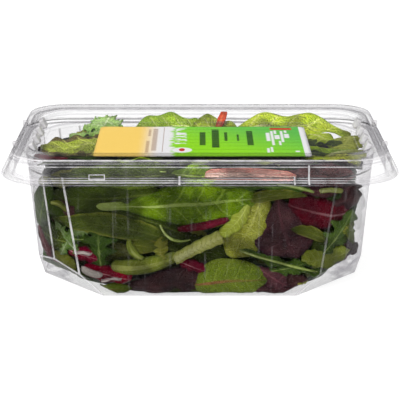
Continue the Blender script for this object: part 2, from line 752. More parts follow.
LABEL_LIFT = 84.35
LABEL_THICK = 0.14
LABEL_RADIUS = 3.0
LABEL_RINGS = (1.0, 0.97, 0.8, 0.6, 0.4, 0.2)
RIPPLE = 0.00007
ORANGE_END = (0.19, 0.31)
GREEN_START = (0.345, 0.372)
WHITE_END = (0.968, 0.972)
# Bars: left, right, low and high
BROWN_BARS = ((0.235, 0.25, 0.12, 0.5), (0.262, 0.285, 0.18, 0.92), (0.240, 0.252, 0.66, 0.9))
BROWN_LINE = (0.313, 0.3155, 0.14, 0.97)
INK_BARS = (
    (0.487, 0.515, 0.36, 0.8), (0.545, 0.58, 0.28, 0.9), (0.605, 0.62, 0.5, 0.8), (0.665, 0.675, 0.5, 0.72),
    (0.712, 0.742, 0.36, 0.84),
)
WHITE_BARS = (
    (0.806, 0.824, 0.5, 0.78), (0.829, 0.841, 0.36, 0.84), (0.846, 0.87, 0.56, 0.7),
    (0.846, 0.858, 0.74, 0.86), (0.876, 0.888, 0.46, 0.84), (0.893, 0.916, 0.6, 0.74),
    (0.896, 0.908, 0.78, 0.86), (0.862, 0.872, 0.36, 0.5), (0.800, 0.812, 0.12, 0.26),
    (0.818, 0.828, 0.14, 0.3), (0.93, 0.95, 0.14, 0.18),
)
WHITE_TUFT = (0.37, 0.425, 0.4, 0.95)
RED_BAR = (0.83, 0.935, 0.885, 0.955)
# Ovals: middle across and up, half width and half height
WHITE_OVAL = (0.405, 0.2, 0.048, 0.085)
RED_OVAL = (0.405, 0.21, 0.014, 0.05)


def label_material(colours, sizes):
    """Fields of orange, white and green, with plain bars and ovals in place of any print."""
    shade = Shade("label_print")
    x, y, _ = shade.place()
    wide = sizes.label_right - sizes.label_left
    deep = sizes.label_back - sizes.label_front
    across = shade.math("DIVIDE", shade.math("SUBTRACT", x, sizes.label_left), wide)
    up = shade.math("DIVIDE", shade.math("SUBTRACT", y, sizes.label_front), deep)

    def bar(left, right, low, high, soft):
        """1 inside a bar of the label, 0 outside it."""
        return shade.times(within(shade, across, left, right, soft), within(shade, up, low, high, soft))

    def oval(middle_x, middle_y, half_x, half_y):
        """1 inside an oval of the label, 0 outside it."""
        far_x = shade.math("DIVIDE", shade.math("SUBTRACT", across, middle_x), half_x)
        far_y = shade.math("DIVIDE", shade.math("SUBTRACT", up, middle_y), half_y)
        far = shade.math("ADD", shade.math("POWER", far_x, 2.0), shade.math("POWER", far_y, 2.0))
        return shade.step(far, 0.8, 1.1, 1.0, 0.0)

    def stripes(count, low, high, start=0.0, end=1.0):
        """Lines that run across the label, one after the other up it."""
        return shade.step(shade.math("PINGPONG", shade.times(up, count), 0.5), low, high, start, end)

    white, ink, brown, red = (tuple(getattr(colours, name)) for name in ("white", "ink", "brown", "red"))
    slant = shade.math("ADD", shade.times(across, 0.62), shade.times(up, 0.42))
    green = shade.mix(shade.step(slant, 0.42, 1.0), tuple(colours.lime), tuple(colours.green))
    green = shade.mix(stripes(9.0, 0.0, 0.1, 0.4, 0.0), green, ink)
    warm = shade.mix(shade.step(across, *ORANGE_END), tuple(colours.orange), white)
    cloud = shade.noise(shade.coordinates((1.0, 2.5, 1.0)), 160.0, 2.0)
    ragged = shade.math("MULTIPLY_ADD", shade.math("SUBTRACT", cloud, 0.5), 0.09, across)
    paint = shade.mix(shade.step(ragged, *GREEN_START), warm, green)
    lines = stripes(15.0, 0.03, 0.1)
    for place in BROWN_BARS:
        paint = shade.mix(shade.times(bar(*place, 0.003), shade.times(lines, 0.6)), paint, brown)
    paint = shade.mix(bar(*BROWN_LINE, 0.002), paint, brown)
    for place in INK_BARS:
        paint = shade.mix(shade.times(bar(*place, 0.003), lines), paint, ink)
    for place in WHITE_BARS:
        paint = shade.mix(bar(*place, 0.004), paint, white)
    paint = shade.mix(bar(*RED_BAR, 0.006), paint, red)
    paint = shade.mix(shade.times(bar(*WHITE_TUFT, 0.006), shade.step(cloud, 0.5, 0.56)), paint, white)
    paint = shade.mix(oval(*WHITE_OVAL), paint, white)
    paint = shade.mix(oval(*RED_OVAL), paint, red)
    paint = shade.mix(shade.step(across, *WHITE_END), paint, white)
    grain = shade.noise(shade.coordinates(), 2500.0, 2.0)
    roughness = shade.step(grain, 0.3, 0.7, 0.22, 0.32)
    creases = shade.noise(shade.coordinates((1.0, 2.0, 1.0)), 60.0, 2.0)
    return shade.finish(shade.surface(paint, roughness, shade.bump(creases, 0.2, 0.0004)))


class SALAD_OT_label(bpy.types.Operator):
    """Lays the printed label on the lid's sunk panel, with faint ripples"""

    bl_idname = "salad.label"
    bl_label = "Label"

    def execute(self, context):
        sizes = context.scene.salad_pack
        near = Vector((sizes.label_left, sizes.label_front))
        far = Vector((sizes.label_right, sizes.label_back))
        middle, half = (near + far) / 2, (far - near) / 2
        rings = []
        for share in LABEL_RINGS:
            flat = ring_outline(half.x * share, half.y * share, LABEL_RADIUS * MM * share, 5, 16, 32)
            ripple = RIPPLE * np.sin(flat[:, 0] * 130.0) * np.cos(flat[:, 1] * 90.0)
            rings.append(np.column_stack([flat[:, 0] + middle.x, flat[:, 1] + middle.y,
                                          LABEL_LIFT * MM + ripple]))
        count = len(rings[0])
        faces = [(i * count + j, i * count + (j + 1) % count, (i + 1) * count + (j + 1) % count,
                  (i + 1) * count + j) for i in range(len(rings) - 1) for j in range(count)]
        faces.append(tuple((len(rings) - 1) * count + j for j in range(count)))
        sheet = mesh_from("label_film", np.vstack(rings), faces)
        film = with_modifiers(sheet, ("SOLIDIFY", {"thickness": LABEL_THICK * MM, "offset": 0.0}))
        material = label_material(context.scene.salad_pack_colours, sizes)
        raise_piece("label_film", outward(film), material, "label")
        return {"FINISHED"}


# Leaves: how each kind is shaped and painted

def bell(along, peak, power):
    return np.sin(np.pi * np.clip(along, 0.0, 1.0) ** peak) ** power


def oval_half(a):
    return bell(a, 0.8, 0.62)


def romaine_half(a):
    return np.maximum(0.25 * (1.0 - 0.5 * a), bell(a, 1.7, 1.0))


def crinkled_half(a):
    return (0.25 + 0.75 * bell(a, 1.1, 0.55)) * (1.0 + 0.05 * np.sin(17 * a) + 0.03 * np.sin(37 * a + 1.0))


def cup_half(a):
    return (0.06 + 0.94 * bell(a, 1.5, 0.75)) * (1.0 + 0.02 * np.sin(15 * a))


def radicchio_half(a):
    return (0.35 + 0.65 * bell(a, 1.0, 0.5)) * (1.0 + 0.04 * np.sin(17 * a + 0.6))


def lobed_half(a):
    lobes = 0.5 + 0.5 * np.sin(24 * a - 1.2)
    return 0.08 + (0.3 + 0.66 * lobes ** 1.5) * bell(a, 1.3, 0.6)


def feathery_half(a):
    lobes = 0.5 + 0.3 * np.sin(52 * a) + 0.2 * np.sin(83 * a + 1.0)
    return 0.07 + (0.34 + 0.6 * lobes ** 2) * bell(a, 1.1, 0.5)


def stalk_half(a):
    round_ends = np.sqrt(np.clip(np.minimum(a, 1.0 - a) / 0.07, 0.0, 1.0))
    return (0.62 + 0.38 * np.sin(2.6 * a + 0.4)) * round_ends


def scalloped_half(a):
    return 0.8 + 0.12 * np.abs(np.sin(15 * a)) - 0.15 * (1 - a)


class Kind(NamedTuple):
    """A kind of leaf: its outline's half width along it, its form in millimetres and its sRGB colours."""

    half: Callable
    steps: int
    thick: float
    wave: float
    waves: float
    quilt: float
    fold: float
    rib: float
    vein_pairs: float
    rib_width: float
    gloss: float
    heart: tuple
    edge: tuple
    vein: tuple
    midrib: tuple


LEAF_KINDS = {
    "spinach": Kind(oval_half, 26, 0.5, 1.0, 4.0, 0.35, 1.3, 0.5, 6.0, 0.05, 0.34,
                    (58, 74, 20), (44, 56, 16), (74, 92, 34), (92, 108, 46)),
    "olive": Kind(oval_half, 26, 0.5, 0.7, 3.0, 0.25, 0.9, 0.4, 5.0, 0.04, 0.36,
                  (82, 92, 32), (122, 124, 54), (88, 100, 40), (104, 114, 52)),
    "romaine": Kind(romaine_half, 32, 0.5, 1.4, 6.0, 0.30, 1.8, 1.0, 8.0, 0.07, 0.36,
                    (122, 148, 28), (84, 108, 24), (150, 172, 70), (198, 214, 122)),
    "crinkled": Kind(crinkled_half, 36, 0.5, 1.3, 7.0, 0.70, 2.8, 0.7, 8.0, 0.04, 0.42,
                     (158, 164, 76), (112, 122, 36), (182, 186, 100), (176, 180, 98)),
    "butter": Kind(oval_half, 32, 0.5, 1.6, 5.0, 0.45, 2.4, 0.7, 6.0, 0.06, 0.38,
                   (176, 196, 58), (128, 160, 36), (214, 224, 128), (216, 224, 146)),
    "red_edged": Kind(crinkled_half, 38, 0.5, 1.6, 9.0, 0.60, 3.0, 0.7, 7.0, 0.07, 0.4,
                      (168, 176, 74), (62, 24, 30), (186, 190, 100), (196, 200, 120)),
    "purple": Kind(cup_half, 32, 0.5, 1.4, 7.0, 0.40, 1.8, 0.6, 6.0, 0.05, 0.32,
                   (78, 50, 50), (46, 22, 32), (84, 48, 54), (96, 58, 62)),
    "radicchio": Kind(radicchio_half, 28, 0.6, 1.2, 6.0, 0.35, 2.6, 0.9, 6.0, 0.06, 0.3,
                      (118, 18, 40), (50, 10, 22), (128, 34, 54), (184, 128, 134)),
    "rocket": Kind(lobed_half, 46, 0.4, 1.2, 6.0, 0.15, 1.2, 0.5, 7.0, 0.08, 0.4,
                   (58, 82, 26), (48, 70, 26), (84, 108, 44), (124, 144, 80)),
    "frisee": Kind(feathery_half, 64, 0.4, 1.6, 9.0, 0.10, 1.4, 0.5, 12.0, 0.09, 0.4,
                   (160, 190, 118), (104, 146, 66), (184, 206, 144), (200, 216, 168)),
    "chard": Kind(oval_half, 28, 0.5, 0.9, 4.0, 0.40, 1.2, 0.6, 7.0, 0.05, 0.34,
                  (100, 114, 36), (90, 100, 34), (122, 134, 58), (128, 88, 58)),
    "curled": Kind(stalk_half, 28, 1.4, 0.7, 3.0, 0.40, 1.0, 0.8, 12.0, 0.3, 0.34,
                   (120, 134, 50), (70, 88, 24), (158, 168, 88), (164, 172, 96)),
    "pale_rib": Kind(scalloped_half, 34, 2.2, 0.2, 3.0, 0.9, 0.3, 0.8, 10.0, 0.42, 0.32,
                     (176, 180, 108), (132, 142, 64), (136, 144, 68), (190, 194, 134)),
    "white_rib": Kind(stalk_half, 20, 2.0, 0.2, 3.0, 0.10, 0.3, 0.6, 6.0, 0.4, 0.34,
                      (206, 196, 188), (176, 140, 144), (214, 204, 196), (224, 214, 206)),
    "twig": Kind(stalk_half, 26, 1.0, 0.1, 2.0, 0.05, 0.2, 0.3, 4.0, 0.4, 0.34,
                 (132, 148, 78), (96, 118, 48), (150, 162, 96), (168, 178, 118)),
    "red_stem": Kind(stalk_half, 20, 2.4, 0.2, 3.0, 0.10, 0.3, 0.5, 4.0, 0.3, 0.24,
                     (80, 16, 30), (54, 10, 20), (96, 24, 38), (104, 28, 44)),
    "flame_stem": Kind(stalk_half, 18, 2.4, 0.2, 3.0, 0.10, 0.3, 0.5, 4.0, 0.3, 0.28,
                       (226, 92, 62), (196, 60, 44), (232, 110, 80), (238, 130, 96)),
    "pink_stem": Kind(stalk_half, 24, 2.4, 0.3, 3.0, 0.15, 0.3, 0.5, 4.0, 0.35, 0.3,
                      (222, 164, 150), (190, 118, 108), (234, 186, 170), (240, 200, 184)),
}
# How far a bare stalk reaches up a leaf, how much the hue varies, and where the edge's colour starts and ends
STALK_SHARES = {"romaine": (0.08, 0.26)}
HUE_SPREADS = {"radicchio": 0.008, "red_stem": 0.006, "flame_stem": 0.01, "pink_stem": 0.006,
               "frisee": 0.008}
USUAL_HUE_SPREAD = 0.03
RIM_PLACES = {"red_edged": (0.5, 0.64), "crinkled": (0.7, 1.0)}
USUAL_RIM_PLACE = (0.62, 1.0)
# Places across a leaf from edge to edge, close together at its rib
ACROSS = np.array([-1.0, -0.86, -0.66, -0.44, -0.24, -0.1, -0.035, 0.035, 0.1, 0.24, 0.44, 0.66, 0.86, 1.0])

# Leaves that show through the front wall, in millimetres on the wall:
# kind, stalk x and z, tip x and z, width, depth behind the wall, bend, cup, arch, brightness
FRONT_LEAVES = (
    ("spinach", -24, 66, -92, 63, 21, 1.5, 2, 1.6, 0.6, 0.8),
    ("spinach", -46, 50, -93, 53, 20, 2.2, 1, 1.6, 0.4, 0.65),
    ("rocket", -66, 36, -94, 40, 16, 1.8, 1, 1.6, 0.4, 0.9),
    ("spinach", -62, 30, -96, 30, 20, 3.4, 1, 1.6, 0.6, 0.6),
    ("romaine", -65.5, 57.5, 38, 63.5, 32, 0.1, -2, 1.8, 0.1, 0.77),
    ("spinach", -8, 38, -62, 57, 19, 2.0, -2, 1.8, 0.8, 0.7),
    ("spinach", -10, 60, 46, 63, 30, 3.4, 1, 2.0, 0.8, 0.6),
    ("olive", -20, 36.5, -90, 47, 15.5, 0.5, -4, 1.6, 0.4, 0.82),
    ("twig", -24, 46, -6, 36.5, 1.6, 0.1, -4.5, 0.1, 0.0, 1.1),
    ("red_stem", 17, 49.5, -13, 43, 5.0, 0.4, 0.6, 0.3, 0.5, 0.95),
    ("rocket", -60, 17, -61, 46, 24, 0.8, 1, 1.0, 0.4, 0.62),
    ("frisee", -72, 26, -88, 46, 12, 0.7, 1, 0.8, 0.3, 0.42),
    ("frisee", -86, 22, -75, 42, 10, 0.5, 1, 0.8, 0.3, 0.5),
    ("frisee", -62, 44, -80, 41, 8, 0.9, 1, 0.8, 0.3, 0.4),
    ("spinach", -99, 38, -90, 74, 14, 1.0, 1, 1.2, 0.3, 0.85),
    ("purple", -84, 62, -76, 48, 11, 1.4, 0, 2.0, 0.5, 1.1),
    ("curled", -90, 58, -80, 54, 4, 1.0, 2, 0.8, 0.3, 1.0),
    ("radicchio", -80, 28, -60, 22, 10, 0.4, 1, 2.0, 0.4, 1.1),
    ("radicchio", -71, 17, -42, 10.5, 12, 0.3, -1, 2.2, 0.3, 1.6),
    ("white_rib", -72, 18, -60, 13.5, 4.6, 0.05, -1.0, 0.3, 0.0, 0.92),
    ("white_rib", -60, 9.2, -48, 11, 1.3, 0.05, 0.8, 0.1, 0.0, 0.9),
    ("white_rib", -76, 28, -66, 27, 1.8, 0.05, 0.8, 0.1, 0.0, 0.7),
    ("crinkled", -90, 24, -76, 14, 10, 0.7, 1, 1.4, 0.4, 0.85),
    ("spinach", -88, 16, -66, 8, 9, 1.2, 0, 1.4, 0.6, 1.1),
    ("radicchio", -100, 38, -92, 18, 5.5, 0.3, 0, 0.6, 0.2, 0.85),
    ("curled", -54, 18, -13, 26, 10.5, 0.3, -3, 1.6, 0.2, 0.93),
    ("curled", -35, 24, -43, 36, 4.6, 0.2, 2.5, 0.8, 0.1, 1.0),
    ("olive", -42, 33, -24, 31, 11, 1.2, 0, 1.2, 0.4, 0.8),
    ("crinkled", -23.5, 22, -22.5, 38, 9.0, 0.3, 1, 1.2, 0.2, 0.82),
    ("pale_rib", -15.5, 23, 13, 38, 9.8, 0.3, 1.0, 0.6, 0.1, 0.97),
    ("radicchio", -12, 21, 3, 16, 8.5, 0.3, 0, 1.8, 0.1, 0.85),
    ("spinach", -30, 30, 22, 26, 22, 3.6, 0, 2.0, 0.5, 0.6),
    ("purple", -50, 4.5, 8, 12, 21, 0.9, -2, 1.8, 0.6, 0.7),
    ("chard", -62, 3, -42, 4, 8, 1.0, 0, 1.0, 0.3, 0.9),
    ("crinkled", 29, 60, 12, 38, 10, 0.05, 2, 1.2, 0.1, 1.6),
    ("crinkled", 37, 64, 19, 24, 27, 0.9, 2, 3.2, 0.4, 0.97),
    ("olive", 26, 60, 64, 64, 8, 0.6, 3, 1.8, 0.3, 1.1),
    ("purple", 47, 62, 60, 24, 39, 0.6, -3, 3.0, 0.3, 1.02),
    ("olive", 76, 36, 55, 43, 8.0, 0.25, -2, 1.2, 0.2, 0.85),
    ("radicchio", 90, 51, 53, 59, 20, 0.7, 2, 2.2, 0.2, 0.43),
    ("purple", 78, 56, 99, 60, 14, 0.9, 2, 1.8, 0.5, 0.75),
    ("purple", 44, 66, 99, 65, 9, 1.8, 2, 1.4, 0.4, 1.1),
    ("pale_rib", 72, 67.6, 85, 67, 2.4, 0.2, 1.2, 0.2, 0.0, 1.15),
    ("rocket", 74, 26, 93, 52, 22, 0.5, -1, 1.2, 0.2, 1.2),
    ("spinach", 70, 24, 92, 42, 20, 2.4, 0, 1.6, 0.5, 0.8),
    ("crinkled", 82, 36, 91, 43, 6, 0.4, 0, 1.2, 0.2, 0.95),
    ("crinkled", 93, 25, 62, 23, 15, 0.4, 1, 2.4, 0.3, 1.08),
    ("purple", 88, 31, 98, 21, 9, 0.4, 0, 1.6, 0.2, 0.75),
    ("olive", 89, 45, 95, 28, 5, 0.5, 0, 1.0, 0.2, 0.9),
    ("rocket", 24, 30, 78, 12, 11, 0.8, -1, 1.2, 0.3, 1.0),
    ("rocket", 40, 14, 70, 22, 12, 1.3, 0, 1.2, 0.3, 0.95),
    ("twig", 24, 29.5, 72, 15.5, 1.5, 0.1, -0.6, 0.1, 0.0, 1.15),
    ("chard", -4, 6.5, 43, 10, 30, 0.5, 1, 2.4, 0.3, 0.9),
    ("purple", 36, 17, 54, 5, 15, 0.9, 0, 2.2, 0.3, 1.7),
    ("purple", 28, 3, 64, 3.5, 10, 1.6, 0, 1.0, 0.2, 0.8),
    ("purple", 44, 4, 66, 9, 14, 1.4, 0, 1.8, 0.4, 0.7),
    ("spinach", 10, 2, -44, 3, 12, 2.6, 0, 1.8, 0.4, 0.5),
    ("crinkled", 60, 7, 67, 4, 4, 0.6, 0, 0.8, 0.2, 0.95),
    ("spinach", -10, 78, -84, 77, 17, 0.8, 1, 1.6, 0.3, 2.4),
    ("romaine", -24, 78, 12, 75, 15, 0.4, 1, 1.4, 0.2, 2.6),
    ("pink_stem", 2, 77.5, 57, 76, 7.5, 0.2, 1.5, 0.5, 0.3, 2.5),
    ("purple", 50, 78, 94, 74, 15, 1.0, 1, 2.0, 0.4, 2.9),
    ("crinkled", -98, 68, -62, 79, 11, 1.6, 1, 1.6, 0.4, 1.1),
    ("twig", 46, 72, 68, 67, 1.8, 0.2, 1.0, 0.2, 0.0, 1.1),
    ("rocket", 8, 70, 66, 68.5, 7, 0.4, 1, 0.8, 0.1, 1.25),
)

# Leaves that show through the lid: the same, with x and y in place of x and z
TOP_LEAVES = (
    ("red_edged", -38, 0, -101, -3, 50, 0.2, 2, 0.4, 0.5, 2.0),
    ("crinkled", -40, -14, -84, -8, 26, 0.0, 1, 2.8, 0.6, 1.95),
    ("purple", -34, 2, -104, 3, 46, 3.4, 0, 1.2, 0.8, 1.1),
    ("spinach", -50, -33, -84, -31, 17, 0.0, 1, 1.6, 0.5, 1.2),
    ("radicchio", -74, -33, -102, -25, 15, 0.0, 1, 1.6, 0.3, 1.2),
    ("frisee", -50, 42, -78, 45, 30, 0.4, 1, 1.6, 1.4, 1.65),
    ("frisee", -60, 55, -68, 34, 26, 0.2, 1, 1.0, 1.0, 1.35),
    ("frisee", -50, 33, -86, 31, 20, 1.2, 1, 2.0, 1.0, 1.5),
    ("frisee", -72, 52, -52, 38, 22, 0.3, 1, 1.2, 1.0, 1.6),
    ("crinkled", -50, 36, -82, 38, 26, 2.4, 1, 1.2, 1.0, 1.2),
    ("butter", 2, 44, -46, 43, 34, 0.0, 2, 0.6, 2.2, 2.35),
    ("butter", 26, 43, -16, 44, 30, 0.5, 2, 1.4, 2.0, 1.4),
    ("flame_stem", 12, 38, 17, 59, 5.2, 0.0, 0, 0.3, 0.0, 1.0),
    ("butter", 22, 42, 100, 38, 42, 0.0, 2, 1.0, 2.6, 1.4),
    ("butter", 70, 30, 84, 2, 22, 0.2, 1, 2.6, 0.8, 1.35),
    ("crinkled", 98, 26, 88, -6, 24, 0.5, 2, 3.0, 0.8, 1.4),
    ("spinach", 66, 12, 96, 6, 20, 1.6, 2, 2.0, 0.8, 1.3),
    ("romaine", 62, -6, 98, -14, 18, 0.7, 1, 2.6, 0.6, 1.6),
    ("crinkled", 101, -18, 74, -36, 24, 0.1, 1, 3.0, 0.5, 1.9),
    ("butter", 64, -20, 82, -40, 20, 0.8, 1, 2.4, 0.8, 1.0),
    ("pale_rib", 80, -28, 103, -20, 7, 0.2, 2, 0.6, 0.3, 1.3),
    ("spinach", 62, -12, 100, -30, 22, 2.6, 1, 2.4, 0.8, 0.9),
    ("romaine", -74, -47, -16, -48, 17, 0.1, 1, 0.8, 0.2, 2.2),
    ("romaine", 48, -47, -12, -48, 17, 0.4, 1, 0.8, 0.2, 1.9),
    ("purple", 44, -48, 92, -46, 17, 0.5, 1, 0.8, 0.3, 1.6),
    ("spinach", -98, -45, -52, -49, 17, 0.7, 1, 0.8, 0.3, 2.0),
    ("spinach", -34, -12, 30, 6, 34, 1.2, 1, 2.0, 0.8, 1.0),
    ("romaine", -50, 14, -2, 22, 28, 1.6, 1, 2.0, 0.8, 1.0),
    ("spinach", 34, -22, 62, 18, 26, 1.0, 1, 2.0, 0.8, 1.0),
)

# Leaves scattered on each face by a rule:
# face, layers, how many in a layer, half span, low and high, depth of the first layer
SCATTERED = (
    ("front", 2, 24, 88, 8, 74, 5.0),
    ("back", 3, 26, 84, 10, 62, 0.4),
    ("left", 3, 13, 40, 16, 60, 0.4),
    ("right", 3, 13, 40, 16, 60, 3.2),
    ("top", 2, 24, 84, -44, 26, 5.0),
)
SCATTER_KINDS = ("spinach", "romaine", "spinach", "crinkled", "purple", "rocket", "chard", "radicchio",
                 "spinach", "olive", "rocket", "pale_rib", "romaine", "spinach")
SCATTER_SLIM = {"pale_rib": 0.3, "rocket": 0.8}
SCATTER_SPANS = (26, 56)
LAYER_DEPTH = 2.6
LEAF_SEED = 20261
FOLD_LENGTH = 4.6
VEIN_SLANT = 0.9
FULL_SHADE_DEPTH = 8.0
CLEARANCE = 0.35
# Which way each face looks, and the axes that run across and up it
FACES = {
    "front": (np.array((0.0, -1.0, 0.0)), (0, 2)),
    "back": (np.array((0.0, 1.0, 0.0)), (0, 2)),
    "left": (np.array((-1.0, 0.0, 0.0)), (1, 2)),
    "right": (np.array((1.0, 0.0, 0.0)), (1, 2)),
    "top": (np.array((0.0, 0.0, 1.0)), (0, 1)),
}


def heap_planes(inset):
    """The planes that hold the heap in, all round the tub."""
    normals, reaches = [], []
    for normal, reach in (SIDE_WALL, FRONT_WALL, SIDE_FACET, FRONT_FACET, HEAP_CUT):
        for sx, sy in QUARTERS:
            normals.append((normal[0] * sx, normal[1] * sy, normal[2]))
            reaches.append(reach - inset)
    return np.array(normals), np.array(reaches)


HEAP_NORMALS, HEAP_REACHES = heap_planes(SHEET + CLEARANCE)
HEAP_FLOOR = 0.7
UNDER_PANEL = 83.2
UNDER_RING = 88.4
UNDER_SLOPE_RISE = 0.42
PANEL_EDGE_X = 100.0
PANEL_EDGE_Y = 42.0


def ceiling(points):
    """The highest that leaves may reach under the lid's sunk panel and sloped sides."""
    beyond_x, beyond_y = np.abs(points[:, 0]) - PANEL_EDGE_X, np.abs(points[:, 1]) - PANEL_EDGE_Y
    beyond = np.maximum(0.0, np.maximum(beyond_x, beyond_y))
    return np.minimum(UNDER_RING, UNDER_PANEL + UNDER_SLOPE_RISE * beyond)


def held_in(points, spare):
    """Keeps points inside the tub, over its base and under the lid."""
    for _ in range(3):
        for normal, reach in zip(HEAP_NORMALS, HEAP_REACHES):
            over = points @ normal - (reach - spare)
            points = points - np.outer(np.maximum(over, 0.0), normal)
    points[:, 2] = np.clip(points[:, 2], HEAP_FLOOR + spare, ceiling(points) - spare)
    return points


def pressed_out(face, points):
    """Moves points of a face outwards until they meet the wall or the lid."""
    if face == "top":
        points[:, 2] = ceiling(points)
        return points
    out = FACES[face][0]
    facing = HEAP_NORMALS @ out > 0.05
    room = (HEAP_REACHES[facing] - points @ HEAP_NORMALS[facing].T) / (HEAP_NORMALS[facing] @ out)
    return points + np.outer(room.min(axis=1), out)


def leaf_points(kind, face, stalk, tip, form, draw):
    """The middle surface of one leaf as a grid of points, pressed against its face."""
    width, depth, bend, cup, arch = form
    leaf = LEAF_KINDS[kind]
    out, (across_axis, up_axis) = FACES[face]
    along, side = np.meshgrid(np.linspace(0.0, 1.0, leaf.steps + 1), ACROSS, indexing="ij")
    along, side = along.ravel(), side.ravel()
    start, end = np.zeros(3), np.zeros(3)
    start[[across_axis, up_axis]] = stalk
    end[[across_axis, up_axis]] = tip
    run = end - start
    span = np.linalg.norm(run)
    cross = np.cross(out, run / span)
    half_width = np.maximum(0.035, leaf.half(along)) * width / 2
    phase, second = 6.3 * draw(), 6.3 * draw()
    sway = bend * 4 * along * (1 - along)
    points = start + np.outer(along, run) + np.outer(side * half_width + sway, cross)
    ripple = leaf.wave * np.abs(side) ** 2.2 * np.sin(leaf.waves * along * 3.14 + phase + side)
    fold = np.sin(along * span / FOLD_LENGTH + second) * np.cos(1.7 * side + phase) + 1.0
    roll = 0.45 * cup * np.sin(3.0 * along + phase) * side
    veins = np.cos(2 * np.pi * (along * leaf.vein_pairs - np.abs(side) * VEIN_SLANT)) * (1 - side ** 2)
    ends = (0.6 + 0.012 * span) * (2 * along - 1) ** 4 + arch * (2 * along - 1) ** 2
    sunk = (depth + leaf.thick / 2 + 0.5 * leaf.wave + ripple + cup * side ** 2 + roll
            + 0.5 * leaf.fold * fold + 0.5 * leaf.quilt * veins + ends)
    points = pressed_out(face, points) - np.outer(np.maximum(sunk, 0.1), out)
    return held_in(points, leaf.thick / 2 + 0.05), along, side


def thick_leaf(kind, middle, out):
    """Points of a leaf's upper face, then of its lower face with the rib."""
    steps, thick, rib = LEAF_KINDS[kind].steps, LEAF_KINDS[kind].thick, LEAF_KINDS[kind].rib
    columns = len(ACROSS)
    grid = middle.reshape(steps + 1, columns, 3)
    lengthways = np.gradient(grid, axis=0)
    sideways = np.gradient(grid, axis=1)
    normal = np.cross(lengthways, sideways)
    normal /= np.maximum(np.linalg.norm(normal, axis=2, keepdims=True), 1e-9)
    normal *= np.where((normal @ out) < 0, -1.0, 1.0)[..., None]
    share = np.linspace(0.0, 1.0, steps + 1)[:, None]
    body = thick / 2 * np.where(np.abs(ACROSS) > 0.95, 0.25, 1.0)[None, :]
    ridge = rib * np.exp(-(ACROSS / 0.09) ** 2)[None, :] * (1.0 - 0.8 * share)
    upper = grid + normal * body[..., None]
    lower = grid - normal * (body + ridge * 0.6)[..., None]
    return np.vstack([upper.reshape(-1, 3), lower.reshape(-1, 3)])


def leaf_faces(steps):
    """Faces of a closed leaf whose upper and lower grids follow each other."""
    columns = len(ACROSS)
    under = (steps + 1) * columns
    faces = []
    for i in range(steps):
        for j in range(columns - 1):
            a = i * columns + j
            faces.append((a, a + columns, a + columns + 1, a + 1))
            faces.append((under + a, under + a + 1, under + a + columns + 1, under + a + columns))
    for i in range(steps):
        for j, turn in ((0, False), (columns - 1, True)):
            a, b = i * columns + j, (i + 1) * columns + j
            faces.append((b, a, under + a, under + b) if not turn else (a, b, under + b, under + a))
    for i, turn in ((0, True), (steps, False)):
        for j in range(columns - 1):
            a, b = i * columns + j, i * columns + j + 1
            faces.append((b, a, under + a, under + b) if not turn else (a, b, under + b, under + a))
    return faces


class LeafPile:
    """Gathers the leaves of one kind into one mesh."""

    def __init__(self, kind):
        self.kind = kind
        self.points, self.faces, self.places, self.tones = [], [], [], []
        self.count = 0

    def add(self, face, stalk, tip, form, brightness, draw):
        middle, along, side = leaf_points(self.kind, face, stalk, tip, form, draw)
        points = thick_leaf(self.kind, middle, FACES[face][0])
        steps = LEAF_KINDS[self.kind].steps
        self.faces += [tuple(i + self.count for i in corner) for corner in leaf_faces(steps)]
        self.points.append(points)
        self.places.append(np.tile(np.column_stack([along, side * 0.5 + 0.5]), (2, 1)))
        depth = form[1]
        tone = np.array((brightness / 2, draw(), min(1.0, depth / FULL_SHADE_DEPTH), 1.0))
        self.tones.append(np.tile(tone, (len(points), 1)))
        self.count += len(points)

    def mesh(self):
        mesh = mesh_from(f"leaves_{self.kind}", np.vstack(self.points) * MM, self.faces)
        places, tones = np.vstack(self.places), np.vstack(self.tones)
        corner_points = np.empty(len(mesh.loops), dtype=np.int32)
        mesh.loops.foreach_get("vertex_index", corner_points)
        layer = mesh.uv_layers.new(name="leaf_place")
        layer.data.foreach_set("uv", places[corner_points].ravel())
        tone = mesh.attributes.new("leaf_tone", "FLOAT_COLOR", "POINT")
        tone.data.foreach_set("color", tones.ravel())
        return outward(mesh, merge=False)


CLOUDS_PER_METRE = 95.0
GRAIN_PER_METRE = 700.0
WRINKLES_PER_METRE = 230.0
WRINKLE_DEPTH = 4.5
PATCHES_PER_METRE = 42.0
PATCH_LIGHT = (0.52, 1.28)
RIM_STRENGTH = 0.88
VEIN_STRENGTH = 0.62
LEAF_SPECULAR = 0.08


def leaf_veins(shade, leaf, places, along, side, cloud):
    """Side veins that slant to the tip, and how far a point lies from the fine net between them."""
    lean = shade.math("MULTIPLY_ADD", side, -VEIN_SLANT, shade.times(along, leaf.vein_pairs))
    wander = shade.math("MULTIPLY_ADD", cloud, 0.5, lean)
    branch = shade.step(shade.math("PINGPONG", wander, 0.5), 0.02, 0.12, 1.0, 0.0)
    branch = shade.times(branch, shade.step(side, 0.55, 1.0, 1.0, 0.25))
    stretched = shade.node("ShaderNodeMapping")
    shade.feed(stretched.inputs["Vector"], places)
    stretched.inputs["Scale"].default_value = (leaf.vein_pairs * 3.2, 9.0, 1.0)
    net = shade.node("ShaderNodeTexVoronoi", feature="DISTANCE_TO_EDGE")
    shade.feed(net.inputs["Vector"], stretched.outputs[0])
    net.inputs["Scale"].default_value = 1.6
    return branch, net.outputs["Distance"]


